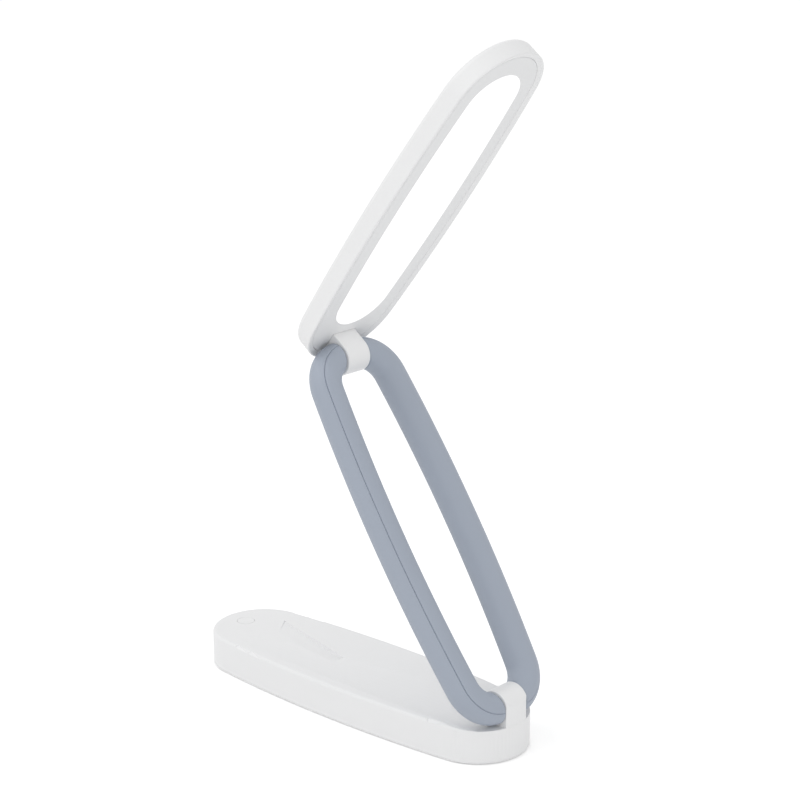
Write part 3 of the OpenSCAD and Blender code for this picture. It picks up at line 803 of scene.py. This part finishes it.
def close_tree(tree, geometry, material):
    """Realize Instances and Set Material, then the group's output."""
    real = tree.add("GeometryNodeRealizeInstances", {}, {0: geometry})
    dressed = tree.add("GeometryNodeSetMaterial", {}, {"Geometry": real, "Material": material})
    tree.add("NodeGroupOutput", {}, {0: dressed})


class Outline:
    """The base's bowed outline: two round ends, joined by two long arcs without a kink."""

    def __init__(self, base):
        self.end_r = base.end_radius
        self.half = base.length / 2 - self.end_r
        half_width = base.width / 2
        bulge = half_width - self.end_r
        self.side_r = (self.half ** 2 + half_width ** 2 - self.end_r ** 2) / (2 * bulge)
        self.side_y = half_width - self.side_r
        self.turn = math.atan2(-self.side_y, self.half)

    def points(self, inset):
        """Points of the outline, drawn in by inset."""
        end_r = self.end_r - inset
        side_r = self.side_r - inset
        points = []
        for sign in (1, -1):
            for i in range(END_POINTS):
                angle = -self.turn + 2 * self.turn * i / END_POINTS
                x = self.half + end_r * math.cos(angle)
                y = end_r * math.sin(angle)
                points.append((sign * x, sign * y))
            for i in range(SIDE_POINTS):
                angle = self.turn + (math.pi - 2 * self.turn) * i / SIDE_POINTS
                x = side_r * math.cos(angle)
                y = self.side_y + side_r * math.sin(angle)
                points.append((sign * x, sign * y))
        return points


def loft(name, rings):
    """A closed solid through rings of points of equal count, capped at both ends."""
    vertices = [point for ring in rings for point in ring]
    count = len(rings[0])
    faces = [tuple(range(count))[::-1]]
    for r in range(len(rings) - 1):
        for i in range(count):
            j = (i + 1) % count
            faces.append((r * count + i, r * count + j, (r + 1) * count + j, (r + 1) * count + i))
    top = (len(rings) - 1) * count
    faces.append(tuple(range(top, top + count)))
    mesh = bpy.data.meshes.new(name)
    mesh.from_pydata(vertices, [], faces)
    return as_piece(name, mesh)


def limb_tree():
    """Skin of one tube half of the far limb, in the ring's plane with the ring's middle as the origin.

    Rings of points run along the limb, from one end face over the corner, the bowed side and the
    other corner to the other end face. Each ring goes half way round the tube, from the parting
    line on. The points lie close together at the parting line and at the end faces.
    """
    size = "NodeSocketFloat"
    tree, put, group = geometry_tree(
        "limb_half", Length=size, Width=size, Corner=size, Bar=size, Tube=size, End=size, Edge=size,
        Shaft=size, Start=size, Drift=size, Seam_Width=size, Seam_Depth=size,
        Material="NodeSocketMaterial")
    rings = 2 * HALF_RINGS + 1
    grid = tree.add("GeometryNodeMeshGrid", {}, {"Vertices X": rings, "Vertices Y": SECTION_POINTS})
    index = tree.add("GeometryNodeInputIndex")

    # Counts are compared half a step off, where rounding can't tip them over
    ring = (index / SECTION_POINTS + 0.5 / SECTION_POINTS).whole()
    point = index - ring * SECTION_POINTS
    from_end = ring.least(rings - 1 - ring)
    first = ring.below(HALF_RINGS + 0.5)
    along = ring / (rings - 1)

    # Round the tube
    eased = 0.5 - (point * (math.pi / (SECTION_POINTS - 1))).cosine() * 0.5
    angle = put["Start"] + put["Drift"] * along + eased * math.pi
    off_seam = put["Tube"] * eased.least(1 - eased) * math.pi
    dip = (1 - off_seam / put["Seam_Width"]).most(0) ** 2
    radius = put["Tube"] - put["Seam_Depth"] * dip
    out = radius * angle.cosine()
    up = radius * angle.sine()

    # The bowed side is an arc that meets the corners' arcs without a kink
    half = put["Length"] / 2 - put["Corner"]
    reach = put["Width"] / 2 - put["Bar"]
    bow = (half ** 2 + reach ** 2 - put["Corner"] ** 2) / (2 * (reach - put["Corner"]))
    bow_y = put["Width"] / 2 - bow
    turn = tree.add("ShaderNodeMath", {"operation": "ARCTAN2"}, {0: put["Bar"] - bow_y, 1: half})

    # End face and rounding: rings of equal distance from the middle of the ring
    round_share = ((from_end - 1) / (END_RINGS - 1)).most(0).least(1) * (math.pi / 2)
    level = put["End"] + put["Edge"] * (1 - round_share.cosine())
    at_level = ((level - put["Bar"]) / (put["Corner"] + out)).arc_sine()
    corner_share = ((from_end - END_RINGS) / CORNER_RINGS).most(0).least(1)
    corner_turn = at_level + (turn - at_level) * corner_share
    side_share = ((from_end - END_RINGS - CORNER_RINGS) / SIDE_RINGS).most(0)
    side_turn = turn + (math.pi / 2 - turn) * side_share
    on_side = (END_RINGS + CORNER_RINGS - from_end).below(0)
    corner_x = half + (put["Corner"] + out) * corner_turn.cosine()
    corner_y = put["Bar"] + (put["Corner"] + out) * corner_turn.sine()
    side_x = (bow + out) * side_turn.cosine()
    side_y = bow_y + (bow + out) * side_turn.sine()
    x = corner_x * (1 - on_side) + side_x * on_side
    y = corner_y * (1 - on_side) + side_y * on_side

    # The rounding keeps within its radius round the hinge axis, and the first ring lies at the shaft
    axis_x = put["Length"] / 2
    from_axis = ((x - axis_x) ** 2 + up ** 2).root()
    widest = put["Tube"] - put["Edge"] * (1 - round_share.sine())
    at_shaft = from_end.below(0.5)
    widest = widest * (1 - at_shaft) + put["Shaft"] * at_shaft
    at_end = from_end.below(END_RINGS - 0.5)
    pull = (widest / from_axis).least(1) * at_end + (1 - at_end)
    x = axis_x + (x - axis_x) * pull
    up = up * pull
    x = x * (2 * first - 1)

    spot = tree.add("ShaderNodeCombineXYZ", {}, {"X": x, "Y": y, "Z": up})
    skin = tree.add("GeometryNodeSetPosition", {}, {"Geometry": grid, "Position": spot})
    close_tree(tree, skin, put["Material"])
    return group


class LAMP_OT_arm(bpy.types.Operator):
    """Ring arm: four tube halves of blue-grey plastic, with their parting lines"""

    bl_idname = "lamp.arm"
    bl_label = "Ring arm"

    def execute(self, context):
        scene = context.scene
        sizes = scene.lamp_arm
        finish = scene.lamp_finish
        grey = moulded("blue_grey", scene.lamp_colours.arm, finish.arm_roughness, finish.arm_drift)
        group = limb_tree()
        middle = Matrix.Translation((-ARM_RUN.length / 2, 0, 0))
        lean = Matrix.Translation(HINGES["base_hinge"]) @ Matrix.Rotation(ARM_LEAN, 4, "Y") @ middle
        for node in LIMB_NODES:
            holder = carrier(
                node, group, Length=ARM_RUN.length, Width=sizes.width, Corner=sizes.corner,
                Bar=sizes.bar, Tube=sizes.tube, End=sizes.end, Edge=sizes.edge, Shaft=sizes.shaft,
                Start=sizes.seam_base + (0 if "upper" in node else math.pi),
                Drift=sizes.seam_head - sizes.seam_base, Seam_Width=sizes.seam_width,
                Seam_Depth=sizes.seam_depth, Material=grey)
            shell = holder.modifiers.new("wall", "SOLIDIFY")
            shell.thickness = sizes.wall
            shell.offset = -1
            limb = baked(holder, node + "_tube")
            side = -1 if "near" in node else 1
            limb.data.transform(lean @ Matrix.Diagonal((1, side, 1, 1)))
            outward(limb)
            smooth(limb)
            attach(limb, "arm")
            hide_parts(node)
        return {"FINISHED"}


class LAMP_OT_pad(bpy.types.Operator):
    """Grip pad under the base: a thin rubber plate with rows of low studs"""

    bl_idname = "lamp.pad"
    bl_label = "Grip pad"

    def execute(self, context):
        sizes = context.scene.lamp_pad
        rubber = self.rubber(context.scene.lamp_colours.pad)
        low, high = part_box("base_pad")
        base = Outline(context.scene.lamp_base)

        under = low.z + sizes.stud_height
        levels = ((sizes.bevel, under), (0.0, under + sizes.bevel), (0.0, high.z))
        rings = [[(x, y, z) for x, y in base.points(sizes.inset + inset)] for inset, z in levels]
        plate = loft("pad_plate", rings)
        plate.data.materials.append(rubber)

        studs = baked(carrier(
            "pad_studs", self.stud_tree(base), Pitch=sizes.pitch, Radius=sizes.stud_radius,
            Taper=sizes.stud_taper, Height=sizes.stud_height, Border=sizes.inset + sizes.edge,
            Floor=low.z, Rubber=rubber), "pad_studs")

        for piece in (plate, studs):
            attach(piece, "base")
        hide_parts("base_pad")
        return {"FINISHED"}

    @staticmethod
    def rubber(colour):
        """Dark rubber with fine grit and slow clouds of tone."""
        plan = Finish("grip_rubber")
        grit = plan.noise(0.4 * MM)
        cloud = plan.noise(20 * MM)
        return plan.surface(
            base_color=plan.blend(cloud, shade(colour, 0.8), shade(colour, 1.3)),
            roughness=0.72 + grit.centred() * 0.2, normal=plan.relief(grit, 0.03 * MM, strength=0.7))

    @staticmethod
    def stud_tree(base):
        """Studs on a square grid, as far as the grid lies within the base's outline and its border."""
        size = "NodeSocketFloat"
        tree, put, group = geometry_tree(
            "pad_studs", Pitch=size, Radius=size, Taper=size, Height=size, Border=size, Floor=size,
            Rubber="NodeSocketMaterial")
        grid = tree.add("GeometryNodeMeshGrid", {}, {
            "Size X": put["Pitch"] * STUD_COLUMNS, "Size Y": put["Pitch"] * STUD_ROWS,
            "Vertices X": STUD_COLUMNS + 1, "Vertices Y": STUD_ROWS + 1})
        x = tree.add("ShaderNodeSeparateXYZ", {}, {0: tree.add("GeometryNodeInputPosition")})
        y = tree.sibling(x, 1)
        reach_end = ((abs(x) - base.half) ** 2 + y ** 2).root() - base.end_r
        reach_side = (x ** 2 + (abs(y) - base.side_y) ** 2).root() - base.side_r
        beyond = tree.add("ShaderNodeMath", {"operation": "GREATER_THAN"}, {0: abs(x), 1: base.half})
        reach = beyond * reach_end + (1 - beyond) * reach_side
        outside = (0 - put["Border"]).below(reach)
        kept = tree.add(
            "GeometryNodeDeleteGeometry", {"domain": "POINT"}, {"Geometry": grid, "Selection": outside})
        stud = tree.add("GeometryNodeMeshCone", {}, {
            "Vertices": STUD_SIDES, "Radius Top": put["Radius"] * put["Taper"],
            "Radius Bottom": put["Radius"], "Depth": put["Height"]})
        turned = tree.add("GeometryNodeTransform", {}, {"Geometry": stud, "Rotation": (math.pi, 0, 0)})
        studs = tree.add("GeometryNodeInstanceOnPoints", {}, {"Points": kept, "Instance": turned})
        drop = tree.add("ShaderNodeCombineXYZ", {}, {"Z": put["Floor"] + put["Height"]})
        placed = tree.add("GeometryNodeTransform", {}, {"Geometry": studs, "Translation": drop})
        close_tree(tree, placed, put["Rubber"])
        return group


class LAMP_OT_chips(bpy.types.Operator):
    """Phosphor of the light-emitting chips beside the light guide"""

    bl_idname = "lamp.chips"
    bl_label = "Chip rows"

    def execute(self, context):
        plan = Finish("chip_phosphor")
        speck = plan.noise(0.3 * MM)
        phosphor = plan.toned(
            speck, gloss=0.25, swing=0.1, emission_color=context.scene.lamp_colours.chip_light,
            emission_strength=context.scene.lamp_finish.chip_strength)
        wear(phosphor, "led_chips")
        return {"FINISHED"}


class LAMP_OT_inside(bpy.types.Operator):
    """Steel, board, cell, cables and the other pieces inside"""

    bl_idname = "lamp.inside"
    bl_label = "Inner pieces"

    def execute(self, context):
        colours = context.scene.lamp_colours
        finish = context.scene.lamp_finish

        plan = Finish("plain_steel")
        brush = plan.noise(0.3 * MM, detail=3.0, place=plan.stretched((1.0, 0.06, 1.0)))
        tones = (shade(colours.steel, 0.9), shade(colours.steel, 1.1))
        steel = plan.toned(
            brush, gloss=0.28, swing=0.18, relief=(0.01 * MM, 0.4), tones=tones, metallic=1.0)
        wear(steel, *STEEL_NODES)

        cover = moulded("dark_cover", colours.underside, finish.cover_roughness, finish.cover_drift)
        wear(cover, "base_cover")
        bush = moulded("bush_plastic", colours.bush, finish.bush_roughness, finish.shell_drift)
        wear(bush, "base_bush", "head_bush")

        plan = Finish("foil_cell")
        crease = plan.noise(7 * MM, detail=4.0)
        wear(plan.toned(crease, gloss=0.30, swing=0.2, relief=(0.25 * MM, 0.5), metallic=0.7), "battery")

        plan = Finish("solder_mask")
        pitch = 6.25 * MM
        track = plan.add("ShaderNodeTexBrick", {}, {"Vector": plan.place, "Scale": 1 / pitch})
        lines = plan.sibling(track, 1)
        wear(plan.toned(lines, gloss=0.32, swing=0.08, relief=(0.03 * MM, 0.6)), "control_board")

        plan = Finish("moulded_chip")
        wear(plan.toned(plan.noise(0.25 * MM), gloss=0.5, swing=0.2), "board_parts")

        plan = Finish("conductive_foam")
        wear(plan.toned(plan.cells(0.6 * MM), gloss=0.9, relief=(0.15 * MM, 1.0)), "touch_foam")

        plan = Finish("cable_jacket")
        wear(plan.toned(plan.noise(3 * MM, detail=3.0), gloss=0.5, swing=0.15), *CABLE_NODES)
        return {"FINISHED"}


def soft_light(name, power, place, size, aim):
    """A large soft light that looks at the lamp, at a height above the floor."""
    lamp = bpy.data.lights.new(name, "AREA")
    lamp.shape = "RECTANGLE"
    lamp.size, lamp.size_y = size
    lamp.energy = power
    light = as_piece(name, lamp)
    light.location = place
    light.rotation_euler = (UP * aim - light.location).to_track_quat("-Z", "Y").to_euler()


def seen_as_white(tree):
    """1 for rays of the camera and for what glossy and clear surfaces show, else 0."""
    camera = tree.add("ShaderNodeLightPath", out="Is Camera Ray")
    glossy = tree.sibling(camera, "Is Glossy Ray")
    return camera.most(glossy).most(tree.sibling(camera, "Is Transmission Ray"))


class LAMP_OT_studio(bpy.types.Operator):
    """Pale floor, even light, one large soft light and the camera"""

    bl_idname = "lamp.studio"
    bl_label = "Studio"

    def execute(self, context):
        scene = context.scene
        studio = scene.lamp_studio
        scene.view_settings.view_transform = "Standard"
        self.floor(studio)
        self.sky(scene, studio.sky)
        soft_light("key", studio.key, studio.key_place, studio.key_size, studio.aim)
        soft_light("fill", studio.fill, studio.fill_place, studio.fill_size, studio.aim)
        scene.camera = self.camera(studio)
        return {"FINISHED"}

    @staticmethod
    def floor(studio):
        """A pale matt floor that reads as white where no shadow falls."""
        plan = Finish("pale_floor")
        matt = plan.add("ShaderNodeBsdfDiffuse", {}, {"Color": rgba(studio.floor)})
        glow = plan.add("ShaderNodeEmission", {}, {
            "Color": (1, 1, 1, 1), "Strength": seen_as_white(plan) * studio.floor_glow})
        both = plan.add("ShaderNodeAddShader", {}, {0: matt, 1: glow})
        plan.add("ShaderNodeOutputMaterial", {}, {"Surface": both})
        mesh = bpy.data.meshes.new("floor")
        signs = ((-1, -1), (1, -1), (1, 1), (-1, 1))
        corners = [(x * studio.floor_reach, y * studio.floor_reach, 0) for x, y in signs]
        mesh.from_pydata(corners, [], [(0, 1, 2, 3)])
        mesh.materials.append(plan.material)
        as_piece("floor", mesh)

    @staticmethod
    def sky(scene, strength):
        """Even light from all round, white to the camera."""
        world = bpy.data.worlds.new("studio")
        world.use_nodes = True
        scene.world = world
        tree = Tree(world.node_tree)
        shown = seen_as_white(tree)
        light = tree.add("ShaderNodeBackground", {}, {
            "Color": (1, 1, 1, 1), "Strength": strength + shown * (1.0 - strength)})
        tree.add("ShaderNodeOutputWorld", {}, {"Surface": light})

    @staticmethod
    def camera(studio):
        """The camera at the photograph's view."""
        azimuth, elevation = studio.azimuth, studio.elevation
        level = math.cos(elevation)
        right = Vector((math.cos(azimuth), math.sin(azimuth), 0))
        back = Vector((math.sin(azimuth) * level, -math.cos(azimuth) * level, math.sin(elevation)))
        turn = Matrix((right, back.cross(right), back)).transposed().to_4x4()
        view = bpy.data.cameras.new("camera")
        view.lens = studio.lens
        view.sensor_width = studio.sensor
        view.clip_start, view.clip_end = studio.nearest, studio.farthest
        camera = as_piece("camera", view)
        camera.matrix_world = Matrix.Translation(studio.place) @ turn
        return camera


class LAMP_PT_sidebar(bpy.types.Panel):
    """The lamp's sizes, colours and steps"""

    bl_idname = "LAMP_PT_sidebar"
    bl_label = "Folding desk lamp"
    bl_space_type = "VIEW_3D"
    bl_region_type = "UI"
    bl_category = "Lamp"

    def draw(self, context):
        for group, _kind in GROUPS:
            box = self.layout.box()
            holder = getattr(context.scene, group)
            for key in holder.bl_rna.properties.keys():
                if key not in ("rna_type", "name"):
                    box.prop(holder, key)
        for step in STEPS:
            self.layout.operator(step.bl_idname)


GROUPS = (
    ("lamp_colours", LampColours),
    ("lamp_finish", LampFinish),
    ("lamp_base", LampBase),
    ("lamp_hollow", LampHollow),
    ("lamp_arm", LampArm),
    ("lamp_pad", LampPad),
    ("lamp_studio", LampStudio),
)
STEPS = (
    LAMP_OT_shell, LAMP_OT_face, LAMP_OT_arm, LAMP_OT_light, LAMP_OT_chips, LAMP_OT_pad,
    LAMP_OT_inside, LAMP_OT_studio,
)


def register():
    for name, kind in GROUPS:
        bpy.utils.register_class(kind)
        setattr(bpy.types.Scene, name, PointerProperty(type=kind))
    for kind in (*STEPS, LAMP_PT_sidebar):
        bpy.utils.register_class(kind)


def unregister():
    for kind in (LAMP_PT_sidebar, *reversed(STEPS)):
        bpy.utils.unregister_class(kind)
    for name, kind in reversed(GROUPS):
        delattr(bpy.types.Scene, name)
        bpy.utils.unregister_class(kind)


def main():
    register()
    for step in STEPS:
        family, action = step.bl_idname.split(".")
        getattr(getattr(bpy.ops, family), action)()


if __name__ == "__main__":
    main()
